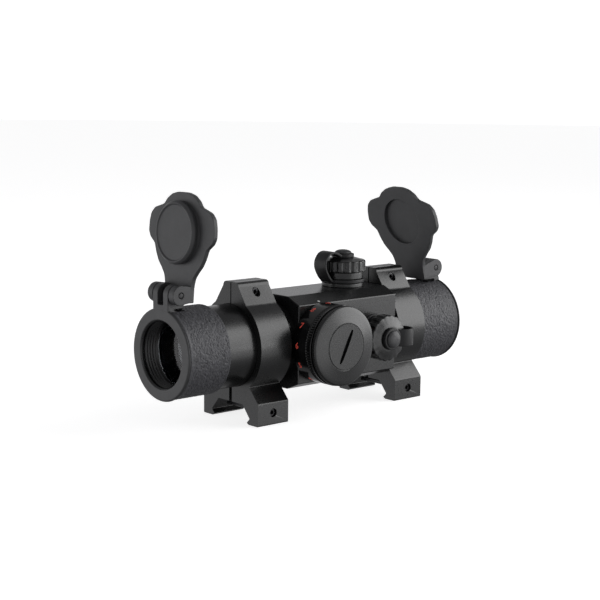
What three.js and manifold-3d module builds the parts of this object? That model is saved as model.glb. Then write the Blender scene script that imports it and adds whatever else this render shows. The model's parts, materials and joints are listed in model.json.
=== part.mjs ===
// Tube red dot finder on two split rail rings, with flip-up lens caps, a brightness dial that
// holds the battery, and capped elevation and windage screws. Millimetres, +Z up, +X towards
// the objective, +Y to the observer's left. The origin lies on the roof of the rail channel,
// in the vertical mid-plane, straight below the axis of the brightness dial.
import * as THREE from "three";
import { mergeVertices } from "three/addons/utils/BufferGeometryUtils.js";
import Module from "manifold-3d";

const wasm = await Module();
wasm.setup();

// ---------------------------------------------------------------- driving dimensions
// Fits: clearance between parts that slide or turn, and between parts that only meet.
const running = 0.08;
const seat = 0.1;
const turnedSeat = 0.3;

// Main tube, and how far it reaches beyond the two rail rings.
const tubeRadius = 15;
const tubeWall = 2.1;
const tubeBore = tubeRadius - tubeWall;
const rearOverhang = 31.15;
const frontOverhang = 21.45;

// Rubber armour on both tube ends.
const sleeveThickness = 1.1;
const rearSleeveLength = 18.7;
const sleeveRound = 0.5;

// Lens bezels, which carry the cap hinges.
const bezelWall = 1.1;
const lensBore = tubeBore - seat - bezelWall;
const bezelLength = 2.9;
const bezelSkirt = 4.6;
const bezelChamfer = 0.5;
const mouthChamfer = 0.7;
const bezelRoot = 2;
const bezelFlange = 0.8;
const flangeLip = 0.3;
const sleeveSetback = bezelFlange + turnedSeat;

// Cap hinges: one lug on the bezel between two knuckles on the cap.
const pinRadius = 1;
const knuckleRadius = 3.5;
const knuckleLength = 2.85;
const hingeSideGap = 0.35;
const lugHalfWidth = 4.3;
const knuckleHalfSpan = lugHalfWidth + hingeSideGap + knuckleLength;
const hingeLift = 1.6;
const pinHeight = tubeRadius + sleeveThickness + hingeLift + knuckleRadius;
const rearPinInset = knuckleRadius;
const frontPinInset = knuckleRadius + 1.9;
const pinEndInset = 0.2;
const springWire = 0.5;
const springCoils = 3;
const springPlay = 0.35;
const springSlot = 1.6;

// Flip caps, and how far each leans back from upright when it is open.
const rearCapLean = 4;
const frontCapLean = 15;
const capGap = 0.35;
const capThickness = 1.7;
const capHeel = 2.6;
const plugFit = 0.6;
const plugRadius = lensBore - plugFit;
const plugHeight = 3.1;
const plugRimHeight = 0.5;
const plugRimWidth = 1.2;
const plugChamfer = 0.8;
const capRecessRim = 1.9;
const capRecessDepth = 2;

// Half outline of a cap about the centre of its plug, in tube radii: (half width, height).
const capShape = [
  [0.553, -1.013], [0.667, -0.867], [0.807, -0.72], [0.913, -0.533], [0.993, -0.32],
  [1.173, -0.187], [1.247, -0.053], [1.24, 0.187], [1.187, 0.387], [1.053, 0.52],
  [0.693, 0.627], [0.587, 0.76], [0.4, 0.88], [0.173, 0.933],
];

// Windows, and the pivoting inner tube that carries the reflector and the emitter.
const glassThickness = 2;
const retainerLength = 2;
const retainerLip = 0.3;
const innerTubeSetback = 1.3;
const innerTubeRear = -18;
const innerTubePlay = 2.3;
const innerTubeRadius = tubeBore - innerTubePlay;
const innerTubeWall = 0.9;
const pivotLength = 4;
const pivotSetback = 1;
const reflectorInset = 2.6;
const reflectorLip = 1.2;
const emitterStation = -3;
const emitterRadius = 1.2;
const leadWidth = 2.4;
const leadThickness = 0.5;
const leadHoleRadius = 2.4;
const leafThickness = 0.4;
const leafStand = 0.5;
const leafHalfLength = 4;
const leafHalfAngle = 0.6;

// Brightness dial and battery: heights above the side of the block.
const batteryRadius = 10;
const batteryThickness = 3.2;
const batteryStep = 1.6;
const batteryStepHeight = 0.4;
const housingFloor = 2;
const housingWall = 1.9;
const housingBore = batteryRadius + 0.4;
const housingRadius = housingBore + housingWall;
const housingEye = 1.6;
const boardThickness = 0.8;
const contactHeight = 1.6;
const contactSheet = 0.3;
const boardLow = housingFloor + seat;
const contactLow = boardLow + boardThickness + seat;
const batteryLow = contactLow + contactHeight + seat;
const housingHeight = batteryLow + batteryThickness + 0.6;
const snapRingLow = housingHeight - 1.3;
const snapRingHeight = 0.5;
const snapRingDepth = 0.5;
const snapRingReach = 0.55;
const detentBall = 0.7;
const detentHeight = 4.6;
const dialBore = housingRadius + seat;
const dialWall = 2.3;
const dialRadius = dialBore + dialWall;
const dialSetoff = 0.4;
const dialHeight = housingHeight + 1.4;
const dialEdge = 0.4;
const dialMouth = housingRadius + 0.75;
const batteryCapRadius = dialRadius - 0.2;
const batteryCapHeight = 2;
const batteryCapCone = 1;
const batteryCapFlat = 8.4;
const batteryCapBoss = housingRadius - 0.7;
const bossHeight = 0.9;
const oringSection = 1;
const oringGroove = 0.7;
const coinSlotWidth = 1.3;
const coinSlotLength = 13;
const coinSlotDepth = 1.1;
const coinSlotTurn = 64;

// Capped adjustment turrets: heights above the face that they stand on.
const turretCap = 8.65;
const turretCapHeight = 4.3;
const turretCapCrown = 0.9;
const turretCapWall = 1.2;
const turretCapEdge = 0.6;
const turretFlutes = 18;
const fluteDepth = 0.45;
const turretBarrel = turretCap - 0.85;
const turretBarrelTop = 5.6;
const turretCollar = turretBarrel - 0.8;
const turretFoot = turretBarrel + 0.2;
const turretFootHeight = 1.5;
const turretThreadGap = 0.1;
const turretBoreRadius = turretCap - fluteDepth - turretCapWall;
const turretNeck = turretBoreRadius - turretThreadGap;
const turretNeckHeight = 2.5;
const turretNeckWall = 2.7;
const strapThickness = 1.4;
const strapEye = turretBarrel + 0.6;
const strapDisc = 4.2;
const strapBand = 0.9;
const strapBandWidth = 6.4;
const rivetHead = 3.2;
const rivetDome = 1.35;
const rivetStem = 1.3;
const rivetFlange = 0.5;
const screwDialPlay = 0.2;
const screwDial = turretNeck - turretNeckWall - screwDialPlay;
const screwDialHeight = 1.5;
const screwDialSink = 0.6;
const screwStem = 2;
const screwSlotWidth = 1;
const screwSlotDepth = 0.7;
const stemHolePlay = 0.6;
const padThickness = 0.8;
const padGap = 0.15;
const turretGap = 1.05;
const turretX = dialRadius + turretGap + turretCap;

// Octagonal centre block of the tube, from the dial to the strap of the windage turret.
const blockRear = -11.5;
const blockFront = turretX + turretCap + 4.65;
const blockHalfWidth = tubeRadius + 0.6;
const blockTop = tubeRadius + 2.1;
const blockChamferDrop = 2.7;
const blockChamferRun = 6.3;

// Rail rings: each is two halves about the tube, with an ear above and a foot below.
const ringWidth = 14.1;
const rearRingX = -(dialRadius + 1.55 + ringWidth / 2);
const frontRingX = blockFront + 0.55 + ringWidth / 2;
const rearEnd = rearRingX - ringWidth / 2 - rearOverhang;
const frontEnd = frontRingX + ringWidth / 2 + frontOverhang;
const ringOuter = tubeRadius + 2.35;
const earHalfTop = 4.4;
const earTop = ringOuter + 5.75;
const earRound = 1.6;
const earRoot = 8.8;
const topSplit = 0.5;
const footSplit = 1.6;

// Channel for a 21 mm dovetail rail, and the foot around it.
const railHalfWidth = 10.9;
const roofHalfWidth = railHalfWidth - 4;
const channelRoof = -(ringOuter + 3.25);
const railRoot = channelRoof - 4.7;
const hookHalfWidth = railHalfWidth - 1.6;
const hookTip = channelRoof - 6.3;
const footBottom = channelRoof - 6.9;
const footShoulder = channelRoof + 1.3;
const footHalfWidth = railHalfWidth + 4.8;
const footEdge = 0.4;
const hookEdge = 0.5;
const hipInset = 0.3;

// Screws of the rings.
const earScrewHeight = earTop - 3.7;
const railBoltHeight = channelRoof - 2.5;
const screwHeadRadius = 1.5;
const screwHeadHeight = 1.8;
const screwHeadSink = 0.8;
const screwShankRadius = 1.1;
const screwEndInset = 0.6;
const socketRadius = 0.85;
const socketDepth = 1;
const nutRadius = 2.9;
const nutThickness = 2.2;
const nutSink = 0.2;

// Longer than anything that a cutter has to pass through, and sides of a full circle on
// large, middling and small round pieces.
const through = 60;
const fine = 48;
const medium = 32;
const coarse = 16;

// ---------------------------------------------------------------- materials
function finish(color, roughness, metalness = 0) {
  return new THREE.MeshStandardMaterial({ color, roughness, metalness });
}
const anodised = () => finish(0x1c1d1e, 0.42, 0.6);
const rubber = () => finish(0x2a2b2c, 0.85);
const plastic = () => finish(0x3c3d3e, 0.6);
const steel = () => finish(0x8b8d90, 0.35, 1);
const blackSteel = () => finish(0x151516, 0.45, 0.9);
const gloss = () => finish(0x0a0a0b, 0.15);
const glass = () => finish(0x9fb4c8, 0.05);
const circuitBoard = () => finish(0x1f5a34, 0.6);
const copperFilm = () => finish(0xb5651d, 0.6);

// ---------------------------------------------------------------- solids
const at = (x, y) => new THREE.Vector2(x, y);

function solid(geometry) {
  const bare = geometry.clone();
  bare.deleteAttribute("normal");
  bare.deleteAttribute("uv");
  const merged = mergeVertices(bare, 1e-4);
  return new wasm.Manifold(
    new wasm.Mesh({
      numProp: 3,
      vertProperties: new Float32Array(merged.attributes.position.array),
      triVerts: new Uint32Array(merged.index.array),
    }),
  );
}

function geometryOf(body) {
  const mesh = body.getMesh();
  const geometry = new THREE.BufferGeometry();
  geometry.setAttribute("position", new THREE.BufferAttribute(mesh.vertProperties, 3));
  geometry.setIndex(new THREE.BufferAttribute(mesh.triVerts, 1));
  geometry.computeVertexNormals();
  return geometry;
}

const joined = (...bodies) => bodies.reduce((sum, body) => sum.add(body));
const without = (body, ...cuts) => cuts.reduce((rest, cut) => rest.subtract(cut), body);

// A turned solid about +Z from its outline of (radius, height) points, in either direction.
function turned(outline, sides = medium) {
  const points = outline.map(([radius, height]) => at(radius, height));
  if (THREE.ShapeUtils.area(points) < 0) points.reverse();
  const endsOnAxis = points[0].x === 0 && points.at(-1).x === 0;
  if (!endsOnAxis) points.push(points[0].clone());
  return solid(new THREE.LatheGeometry(points, sides).rotateX(Math.PI / 2));
}

function disc(radius, low, high, sides = medium) {
  return turned([[0, low], [radius, low], [radius, high], [0, high]], sides);
}

function ring(inner, outer, low, high, sides = medium) {
  return turned([[inner, low], [outer, low], [outer, high], [inner, high]], sides);
}

// A prism of an outline in the XY plane, from z = low to z = high.
function prism(outline, low, high) {
  const shape = outline instanceof THREE.Shape ? outline : new THREE.Shape(outline);
  const options = { depth: high - low, bevelEnabled: false, curveSegments: fine / 2 };
  return solid(new THREE.ExtrudeGeometry(shape, options).translate(0, 0, low));
}

// A prism of an (x, z) outline between two values of y.
function slab(outline, low, high) {
  return prism(outline, -high, -low).rotate([90, 0, 0]);
}

// A prism of a (y, z) outline between two values of x.
function crossways(outline, low, high) {
  return prism(outline, low, high).rotate([90, 0, 90]);
}

function box(width, depth, height, x = 0, y = 0, z = 0) {
  return solid(new THREE.BoxGeometry(width, depth, height).translate(x, y, z));
}

function regular(count, radius, phase = 0) {
  return Array.from({ length: count }, (_, i) => {
    const angle = phase + (i * 2 * Math.PI) / count;
    return at(radius * Math.cos(angle), radius * Math.sin(angle));
  });
}

// Points of an arc from one angle to another, both included.
function arc(centreX, centreY, radius, from, to, steps) {
  return Array.from({ length: steps + 1 }, (_, i) => {
    const angle = from + ((to - from) * i) / steps;
    return at(centreX + radius * Math.cos(angle), centreY + radius * Math.sin(angle));
  });
}

// Both halves of an outline that is given on its positive side, from bottom to top.
function mirrored(half) {
  const other = half.map((point) => at(-point.x, point.y)).reverse();
  return [...half, ...other];
}

// These turn a +Z solid so that its axis lies along +X, +Y or -Y.
const alongX = (body) => body.rotate([0, 90, 0]);
const alongY = (body) => body.rotate([-90, 0, 0]);
const towardsMinusY = (body) => body.rotate([90, 0, 0]);

// A rod of round section along a curve.
function rod(points, radius, steps, sides) {
  const section = new THREE.Shape(regular(sides, radius));
  const extrudePath = new THREE.CatmullRomCurve3(points);
  return solid(new THREE.ExtrudeGeometry(section, { steps, extrudePath, bevelEnabled: false }));
}

// ---------------------------------------------------------------- scene helpers
const finder = new THREE.Group();

function groupAt(parent, x, y, z) {
  const group = new THREE.Group();
  group.position.set(x, y, z);
  parent.add(group);
  return group;
}

function piece(parent, name, material, body) {
  const mesh = new THREE.Mesh(geometryOf(body), material);
  mesh.name = name;
  parent.add(mesh);
}

// Everything is drawn about the axis of the tube.
const sight = groupAt(finder, 0, 0, -channelRoof);

// ---------------------------------------------------------------- main tube
// A quarter turn about Y lays the outline's first coordinate along Z.
function blockOutline() {
  const sideHeight = blockTop - blockChamferDrop;
  const topHalfWidth = blockHalfWidth - blockChamferRun;
  return mirrored([
    at(sideHeight, -blockHalfWidth), at(blockTop, -topHalfWidth),
    at(blockTop, topHalfWidth), at(sideHeight, blockHalfWidth),
  ]);
}

function mainTube() {
  const shoulder = bezelLength + seat;
  const tube = alongX(disc(tubeRadius, rearEnd + shoulder, frontEnd - shoulder, fine));
  const block = alongX(prism(blockOutline(), blockRear, blockFront));
  const bore = alongX(disc(tubeBore, rearEnd, frontEnd, fine));
  const stemHole = disc(screwStem + stemHolePlay, 0, blockTop + 1, coarse);
  const leadHole = towardsMinusY(disc(leadHoleRadius, 0, blockHalfWidth + 1, coarse));
  return without(
    joined(tube, block),
    bore,
    stemHole.translate([turretX, 0, 0]),
    towardsMinusY(stemHole).translate([turretX, 0, 0]),
    leadHole,
  );
}
piece(sight, "main_tube", anodised(), mainTube());

// ---------------------------------------------------------------- tube ends
// Each end is drawn as the rear one, with its outer face at x = 0 and the tube towards +X,
// and the front one is turned half a turn about Z.
function lugOutline(pinInset) {
  const foot = tubeRadius - bezelRoot;
  const lift = tubeRadius + sleeveThickness + seat;
  return [
    at(0, foot),
    at(0, lift),
    ...arc(pinInset, pinHeight, knuckleRadius, Math.PI, 0, 10),
    at(pinInset + knuckleRadius, lift),
    at(bezelLength, lift),
    at(bezelLength, foot),
  ];
}

function bezel(pinInset) {
  const skirtEnd = bezelLength + bezelSkirt;
  const rim = tubeRadius + sleeveThickness + flangeLip;
  const profile = [
    [lensBore, mouthChamfer], [lensBore + mouthChamfer, 0], [rim - bezelChamfer, 0],
    [rim, bezelChamfer], [rim, bezelFlange],
    [tubeRadius, bezelFlange], [tubeRadius, bezelLength], [tubeBore - seat, bezelLength],
    [tubeBore - seat, skirtEnd], [lensBore, skirtEnd],
  ];
  const lug = slab(lugOutline(pinInset), -lugHalfWidth, lugHalfWidth);
  const slotFloor = pinHeight - knuckleRadius;
  const slot = box(through, 2 * springSlot, through, 0, 0, slotFloor + through / 2);
  const pinHole = alongY(disc(pinRadius + running, -through, through, coarse));
  const drilledLug = without(lug, slot, pinHole.translate([pinInset, 0, pinHeight]));
  return joined(alongX(turned(profile, fine)), drilledLug);
}

function sleeve(length, pinInset) {
  const inner = tubeRadius + seat;
  const outer = tubeRadius + sleeveThickness;
  const shy = 0.3 * sleeveRound;
  const profile = [
    [inner, sleeveSetback], [outer - sleeveRound, sleeveSetback],
    [outer - shy, sleeveSetback + shy], [outer, sleeveSetback + sleeveRound],
    [outer, length - sleeveRound], [outer - sleeveRound, length], [inner, length],
  ];
  const notchLength = 2 * (pinInset + knuckleRadius + turnedSeat);
  const notchWidth = 2 * (lugHalfWidth + turnedSeat);
  const notch = box(notchLength, notchWidth, through, 0, 0, tubeRadius / 2 + through / 2);
  return without(alongX(turned(profile, fine)), notch);
}

// Drawn open and upright: the plate stands inboard of the pin, and its plug faces -X.
function flipCap(pinInset) {
  const plateLow = pinInset + capGap;
  const plateHigh = plateLow + capThickness;
  const neck = [at(knuckleHalfSpan, -capHeel), at(knuckleHalfSpan, knuckleRadius - 0.5)];
  const blade = capShape.map(([half, height]) =>
    at(half * tubeRadius, pinHeight + height * tubeRadius),
  );
  const plate = crossways(mirrored([...neck, ...blade]), plateLow, plateHigh);
  const plugLow = plateLow - plugHeight;
  const pocketFloor = plugLow + plugRimHeight;
  const plug = alongX(turned([
    [0, plugLow], [plugRadius - plugChamfer, plugLow], [plugRadius, plugLow + plugChamfer],
    [plugRadius, plateLow + seat], [0, plateLow + seat],
  ], fine));
  const pocket = alongX(disc(plugRadius - plugRimWidth, plugLow - 1, pocketFloor));
  const recess = alongX(disc(plugRadius - capRecessRim, plateHigh - capRecessDepth, plateHigh + 1));
  const round = regular(24, knuckleRadius, Math.PI / 24);
  const web = [
    at(0, -0.72 * knuckleRadius), at(plateLow + seat, -capHeel),
    at(plateLow + seat, knuckleRadius - 0.3), at(0, knuckleRadius),
  ];
  const inner = lugHalfWidth + hingeSideGap;
  const knuckles = [[-knuckleHalfSpan, -inner], [inner, knuckleHalfSpan]].map(([low, high]) =>
    joined(slab(round, low, high), slab(web, low, high)),
  );
  return without(
    joined(plate, without(plug, pocket).translate([0, 0, pinHeight]), ...knuckles),
    recess.translate([0, 0, pinHeight]),
    alongY(disc(pinRadius + running, -through, through, coarse)),
  );
}

// A coil about the pin with one leg on the lug and one on the cap.
function capSpring(pinInset) {
  const coil = pinRadius + springPlay + springWire / 2;
  const reach = pinInset - springWire - seat;
  const pitch = (2 * (springSlot - springWire)) / springCoils;
  const perTurn = 12;
  const points = [new THREE.Vector3(reach, (-springCoils * pitch) / 2, coil)];
  for (let i = 0; i <= springCoils * perTurn; i += 1) {
    const angle = Math.PI / 2 + (i * 2 * Math.PI) / perTurn;
    const along = pitch * (i / perTurn - springCoils / 2);
    points.push(new THREE.Vector3(coil * Math.cos(angle), along, coil * Math.sin(angle)));
  }
  points.push(new THREE.Vector3(-0.6 * reach, (springCoils * pitch) / 2, coil));
  return rod(points, springWire / 2, points.length + 10, 5);
}

const windowLow = bezelLength + bezelSkirt + seat;
const windowHigh = windowLow + glassThickness;
const retainerLow = windowHigh + seat;
const retainerHigh = retainerLow + retainerLength;

function tubeEnd(side, faceX, turn, pinInset, lean, sleeveLength) {
  const end = groupAt(sight, faceX, 0, 0);
  end.rotation.z = turn;
  const window = disc(tubeBore - seat, windowLow, windowHigh, fine);
  const retainer = ring(lensBore - retainerLip, tubeBore - seat, retainerLow, retainerHigh, fine);
  piece(end, side + "_bezel", plastic(), bezel(pinInset));
  piece(end, side + "_rubber_sleeve", rubber(), sleeve(sleeveLength, pinInset));
  piece(end, side + "_window", glass(), alongX(window));
  piece(end, side + "_window_retainer", blackSteel(), alongX(retainer));
  const hinge = groupAt(end, pinInset, 0, pinHeight);
  const pinReach = knuckleHalfSpan - pinEndInset;
  piece(hinge, side + "_cap_spring", steel(), capSpring(pinInset));
  piece(hinge, side + "_hinge_pin", steel(), alongY(disc(pinRadius, -pinReach, pinReach, coarse)));
  const flap = groupAt(hinge, 0, 0, 0);
  flap.rotation.y = THREE.MathUtils.degToRad(lean);
  piece(flap, side + "_flip_cap", plastic(), flipCap(pinInset));
}
const frontSleeveLength = frontOverhang - turnedSeat;
tubeEnd("rear", rearEnd, 0, rearPinInset, rearCapLean, rearSleeveLength);
tubeEnd("front", frontEnd, Math.PI, frontPinInset, frontCapLean, frontSleeveLength);

// ---------------------------------------------------------------- inner tube and optics
const innerTubeFront = frontEnd - retainerHigh - innerTubeSetback;
const innerTubeBore = innerTubeRadius - innerTubeWall;

function innerTube() {
  const shell = alongX(ring(innerTubeBore, innerTubeRadius, innerTubeRear, innerTubeFront));
  return without(shell, towardsMinusY(disc(leadHoleRadius, 0, innerTubeRadius + 1, coarse)));
}
piece(sight, "inner_tube", anodised(), innerTube());

const pivotLow = innerTubeRear + pivotSetback;
const pivot = ring(innerTubeRadius + running, tubeBore - running, pivotLow, pivotLow + pivotLength);
piece(sight, "inner_tube_pivot", blackSteel(), alongX(pivot));

const reflectorRadius = innerTubeBore - seat;
const reflectorHigh = innerTubeFront - reflectorInset;
const reflector = disc(reflectorRadius, reflectorHigh - glassThickness, reflectorHigh);
piece(sight, "reflector_lens", glass(), alongX(reflector));
const reflectorRing = ring(
  reflectorRadius - reflectorLip, reflectorRadius, reflectorHigh + seat, innerTubeFront,
);
piece(sight, "reflector_retainer", blackSteel(), alongX(reflectorRing));

// The emitter sits on a small bracket inside the inner tube, on the dial's side, and looks at
// the reflector. A flat lead joins it to the switch board.
const bracketLength = 4;
const bracketDepth = 3.2;
const bracketWidth = 4.4;
const bracketFoot = reflectorRadius - 0.6;
function emitterBracket() {
  const middle = -(bracketFoot - bracketDepth / 2);
  const wedge = box(bracketLength, bracketDepth, bracketWidth, emitterStation, middle, 0);
  const lens = alongX(disc(emitterRadius, 0, bracketLength / 2 + 0.8, coarse));
  return joined(wedge, lens.translate([emitterStation, middle, 0]));
}
piece(sight, "emitter_bracket", blackSteel(), emitterBracket());

const leadStart = reflectorRadius;
const leadEnd = blockHalfWidth + housingFloor - seat;
const leadMiddle = -(leadStart + leadEnd) / 2;
const emitterLead = box(leadWidth, leadEnd - leadStart, leadThickness, 0, leadMiddle, 0);
piece(sight, "emitter_lead", copperFilm(), emitterLead);

// A leaf spring presses the inner tube towards both adjustment screws.
function biasSpring() {
  const outer = tubeBore - leafStand;
  const outline = [
    ...arc(0, 0, outer, -leafHalfAngle, leafHalfAngle, 8),
    ...arc(0, 0, outer - leafThickness, leafHalfAngle, -leafHalfAngle, 8),
  ];
  const leaf = alongX(prism(outline, turretX - leafHalfLength, turretX + leafHalfLength));
  return leaf.rotate([45, 0, 0]);
}
piece(sight, "bias_spring", steel(), biasSpring());

// ---------------------------------------------------------------- rail rings
const earRootHeight = Math.sqrt(ringOuter ** 2 - earRoot ** 2);

// One half of a ring as a cross-section in (y, z), on the side of positive y.
function halfRingOutline() {
  const bore = tubeRadius + seat;
  const outline = new THREE.Shape();
  const boreTop = Math.asin(topSplit / 2 / bore);
  const boreBottom = Math.asin(footSplit / 2 / bore);
  const hipAngle = -Math.acos((railHalfWidth - hipInset) / ringOuter);
  const cornerX = earHalfTop - earRound;
  const cornerY = earTop - earRound;
  outline.moveTo(topSplit / 2, bore * Math.cos(boreTop));
  outline.lineTo(topSplit / 2, earTop);
  arc(cornerX, cornerY, earRound, Math.PI / 2, 0, 4).forEach((p) => outline.lineTo(p.x, p.y));
  outline.lineTo(earRoot, earRootHeight);
  outline.absarc(0, 0, ringOuter, Math.acos(earRoot / ringOuter), hipAngle, true);
  outline.lineTo(footHalfWidth, footShoulder);
  outline.lineTo(footHalfWidth, footBottom + footEdge);
  outline.lineTo(footHalfWidth - footEdge, footBottom);
  outline.lineTo(railHalfWidth - hookEdge, footBottom);
  outline.lineTo(hookHalfWidth, hookTip);
  outline.lineTo(railHalfWidth, railRoot);
  outline.lineTo(roofHalfWidth, channelRoof);
  outline.lineTo(footSplit / 2, channelRoof);
  outline.lineTo(footSplit / 2, -bore * Math.cos(boreBottom));
  outline.absarc(0, 0, bore, -Math.PI / 2 + boreBottom, Math.PI / 2 - boreTop, false);
  return outline;
}

// Half thickness of the ear pair at the height of its screw.
const earFall = (earTop - earRound - earScrewHeight) / (earTop - earRound - earRootHeight);
const earSpan = earHalfTop + (earRoot - earHalfTop) * earFall;
const headPocket = screwHeadHeight + screwHeadSink;

// Cutters for the holes of one half: side is -1 on the clamping half and 1 on the fixed one.
function screwHoles(side) {
  const outwards = side < 0 ? towardsMinusY : alongY;
  const shank = outwards(disc(screwShankRadius + seat, 0, through, coarse));
  const cuts = [
    shank.translate([0, 0, earScrewHeight]),
    shank.translate([0, 0, railBoltHeight]),
  ];
  if (side < 0) {
    const head = outwards(disc(screwHeadRadius + seat, 0, through, coarse));
    cuts.push(head.translate([0, headPocket - earSpan, earScrewHeight]));
    cuts.push(head.translate([0, headPocket - footHalfWidth, railBoltHeight]));
  } else {
    const pocket = outwards(prism(regular(6, nutRadius + turnedSeat, Math.PI / 6), 0, through));
    cuts.push(pocket.translate([0, footHalfWidth - nutThickness, railBoltHeight]));
  }
  return cuts;
}

// A socket head screw from its head on the clamping side to its tip in the fixed half.
function socketScrew(span) {
  const face = span - screwHeadSink;
  const neck = face - screwHeadHeight;
  const head = disc(screwHeadRadius, neck, face, coarse);
  const shank = disc(screwShankRadius, screwEndInset - span, neck + seat, coarse);
  const socket = prism(regular(6, socketRadius), face - socketDepth, face + 1);
  return towardsMinusY(without(joined(head, shank), socket));
}

function railNut() {
  const outer = nutSink - footHalfWidth;
  const blank = prism(regular(6, nutRadius, Math.PI / 6), outer, nutThickness - footHalfWidth - seat);
  return towardsMinusY(without(blank, disc(screwShankRadius + seat, -through, 0, coarse)));
}

function railRing(side, stationX) {
  const group = groupAt(sight, stationX, 0, 0);
  const farHalf = crossways(halfRingOutline(), -ringWidth / 2, ringWidth / 2);
  const nearHalf = farHalf.mirror([0, 1, 0]);
  const top = groupAt(group, 0, 0, earScrewHeight);
  const foot = groupAt(group, 0, 0, railBoltHeight);
  piece(group, side + "_ring_fixed_half", anodised(), without(farHalf, ...screwHoles(1)));
  piece(group, side + "_ring_clamp_half", anodised(), without(nearHalf, ...screwHoles(-1)));
  piece(top, side + "_ear_screw", blackSteel(), socketScrew(earSpan));
  piece(foot, side + "_rail_bolt", blackSteel(), socketScrew(footHalfWidth));
  piece(foot, side + "_rail_nut", steel(), railNut());
}
railRing("rear", rearRingX);
railRing("front", frontRingX);

// ---------------------------------------------------------------- adjustment turrets
// Drawn standing on z = 0 with the axis along +Z. The strap leaves towards +X.
const eyeLow = turretFootHeight + seat;
const eyeHigh = eyeLow + strapThickness;
const capLow = turretBarrelTop + seat;
const capEdgeTop = capLow + turretCapHeight;
const capTop = capEdgeTop + turretCapCrown;
const capCeiling = capEdgeTop - turretCapWall;
const discLow = capTop + seat;
const discHigh = discLow + strapThickness;
const neckTop = turretBarrelTop + turretNeckHeight;
const wellFloor = turretBarrelTop - 0.4;
const dialTop = neckTop - screwDialSink;

function turretBase() {
  return turned([
    [screwStem + running, seat], [turretFoot, seat], [turretFoot, turretFootHeight],
    [turretCollar, turretFootHeight], [turretCollar, eyeHigh + seat],
    [turretBarrel, eyeHigh + seat], [turretBarrel, turretBarrelTop],
    [turretNeck, turretBarrelTop], [turretNeck, neckTop], [screwDial + screwDialPlay, neckTop],
    [screwDial + screwDialPlay, wellFloor], [screwStem + running, wellFloor],
  ]);
}

function flutedOutline() {
  const step = (2 * Math.PI) / turretFlutes;
  const flute = [[-0.5, 0], [-0.22, 0], [-0.12, fluteDepth], [0.12, fluteDepth], [0.22, 0]];
  const points = [];
  for (let i = 0; i < turretFlutes; i += 1) {
    for (const [share, depth] of flute) {
      const angle = (i + share) * step;
      const radius = turretCap - depth;
      points.push(at(radius * Math.cos(angle), radius * Math.sin(angle)));
    }
  }
  return points;
}

function turretCapBody() {
  const blank = turned([
    [0, capLow], [turretCap, capLow], [turretCap, capEdgeTop - turretCapEdge],
    [turretCap - turretCapEdge, capEdgeTop], [strapDisc + turretCapEdge, capTop], [0, capTop],
  ]);
  const cavity = disc(turretBoreRadius, capLow - 1, capCeiling);
  const rivetHole = disc(rivetStem + running, capLow, capTop + 1, coarse);
  return without(prism(flutedOutline(), capLow, capTop).intersect(blank), cavity, rivetHole);
}

function rivet() {
  const flangeTop = capCeiling - running;
  const foot = discHigh + seat;
  return turned([
    [0, flangeTop - rivetFlange], [rivetStem + rivetFlange, flangeTop - rivetFlange],
    [rivetStem + rivetFlange, flangeTop], [rivetStem, flangeTop], [rivetStem, foot],
    [rivetHead, foot], [rivetHead, foot + 0.3 * rivetDome],
    [0.8 * rivetHead, foot + 0.68 * rivetDome], [0.45 * rivetHead, foot + 0.92 * rivetDome],
    [0, foot + rivetDome],
  ], coarse);
}

// Side view of the strap's band: from the disc on the cap, out in a loop and back to the eye.
const strapLoop = [
  [strapDisc - 0.6, discLow + strapThickness / 2], [turretCap - 3.05, discHigh + 0.35],
  [turretCap - 1.05, discHigh + 0.75], [turretCap + 0.95, discHigh + 0.2],
  [turretCap + 2.35, discHigh - 1.4], [turretCap + 2.9, discHigh - 2.8],
  [turretCap + 2.85, capLow + 1.9], [turretCap + 1.85, eyeHigh + 2.4],
  [turretCap + 0.6, eyeHigh + 0.6], [turretBarrel + 0.1, eyeLow + strapThickness / 2],
];

function strap() {
  const band = new THREE.CatmullRomCurve3(strapLoop.map(([x, z]) => new THREE.Vector3(x, 0, z)));
  const points = band.getPoints(24);
  const outer = [];
  const inner = [];
  points.forEach((point, i) => {
    const before = points[Math.max(i - 1, 0)];
    const after = points[Math.min(i + 1, points.length - 1)];
    const normal = at(after.z - before.z, before.x - after.x).setLength(strapBand / 2);
    outer.push(at(point.x - normal.x, point.z - normal.y));
    inner.push(at(point.x + normal.x, point.z + normal.y));
  });
  const loop = slab([...outer, ...inner.reverse()], -strapBandWidth / 2, strapBandWidth / 2);
  const eyeBore = turretCollar + seat;
  const clearOfBarrel = disc(eyeBore, 0, discLow - 0.5);
  const clearOfRivet = disc(rivetHead + seat, discHigh, discHigh + rivetDome + 1);
  const eye = ring(eyeBore, strapEye, eyeLow, eyeHigh);
  const top = disc(strapDisc, discLow, discHigh);
  const stemHole = disc(rivetStem + running, discLow - 1, discHigh + 1, coarse);
  return without(joined(without(loop, clearOfBarrel, clearOfRivet), eye, top), stemHole);
}

// The screw and its pad reach down to the inner tube from a stand at this height above its axis.
function adjustmentScrew(standHeight) {
  const low = dialTop - screwDialHeight;
  const tip = innerTubeRadius + padGap + padThickness + running - standHeight;
  const body = turned([
    [0, tip], [screwStem, tip], [screwStem, low], [screwDial, low], [screwDial, dialTop],
    [0, dialTop],
  ]);
  return without(body, box(through, screwSlotWidth, 2 * screwSlotDepth, 0, 0, dialTop));
}

function screwPad(standHeight) {
  const low = innerTubeRadius + padGap - standHeight;
  return disc(screwStem - 0.2, low, low + padThickness, coarse);
}

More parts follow.
